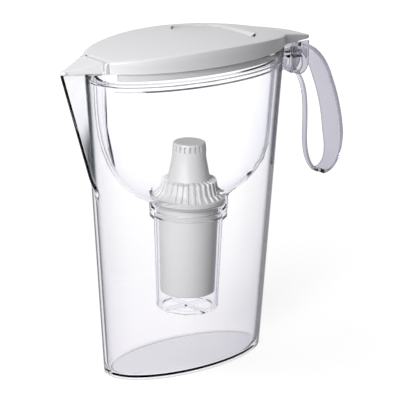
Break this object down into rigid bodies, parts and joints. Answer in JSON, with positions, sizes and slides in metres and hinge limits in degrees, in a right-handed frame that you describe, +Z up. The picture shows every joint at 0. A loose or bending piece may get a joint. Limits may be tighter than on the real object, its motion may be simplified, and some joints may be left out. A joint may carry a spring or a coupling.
{
  "type": "water filter pitcher with flip lid",
  "caption": "Clear oval water filter pitcher with ring handle, lift-out reservoir, filter cartridge in a cup, and a grey lid with a flip-open filling hatch and a spout flap.",
  "frame": {"origin": "middle of the oval base, on the plane that the jug stands on", "axes": "+Z up, the spout towards -X and the handle towards +X, with XZ as the mirror plane"},
  "size_m": [0.277, 0.0952, 0.266],
  "materials": {
    "jug_plastic": "clear, glossy",
    "handle_plastic": "translucent grey, satin",
    "steel": "bright",
    "reservoir_plastic": "clear with a faint lilac tint, glossy",
    "cup_plastic": "clear, glossy",
    "cartridge_plastic": "white, satin",
    "seal_rubber": "white, matt",
    "mesh": "white, matt",
    "granules": "dark grains",
    "lid_plastic": "light grey-white, satin"
  },
  "bodies": {
    "jug": {"jug_body": "jug_plastic", "handle": "handle_plastic", "handle_screw": "steel", "screw_washer": "steel"},
    "reservoir": {"reservoir": "reservoir_plastic", "filter_cup": "cup_plastic"},
    "cartridge": {"cartridge_shell": "cartridge_plastic", "cartridge_head": "cartridge_plastic", "cartridge_seal": "seal_rubber", "upper_screen": "mesh", "lower_screen": "mesh", "filter_media": "granules"},
    "lid": {"lid_shell": "lid_plastic", "lid_skirt_ring": "lid_plastic", "hatch_pin": "steel", "spout_flap_pin": "steel"},
    "hatch": {"fill_hatch": "lid_plastic"},
    "flap": {"spout_flap": "lid_plastic"}
  },
  "joints": [
    {"name": "reservoir_lift", "type": "slide", "parent": "jug", "child": "reservoir", "axis": [0, 0, 1], "range_m": [0, 0.215]},
    {"name": "lid_lift", "type": "slide", "parent": "reservoir", "child": "lid", "axis": [0, 0, 1], "range_m": [0, 0.24]},
    {"name": "cartridge_lift", "type": "slide", "parent": "reservoir", "child": "cartridge", "axis": [0, 0, 1], "range_m": [0, 0.192]},
    {"name": "hatch_hinge", "type": "hinge", "parent": "lid", "child": "hatch", "pos_m": [0.054, 0, 0.26069], "axis": [0, 1, 0], "range_deg": [0, 105]},
    {"name": "flap_hinge", "type": "hinge", "parent": "lid", "child": "flap", "pos_m": [-0.08639, 0, 0.25588], "axis": [0, 1, 0], "range_deg": [0, 55]}
  ],
  "couplings": [
    {"joint": "cartridge_lift", "follows": "lid_lift", "ratio": 0.8}
  ]
}
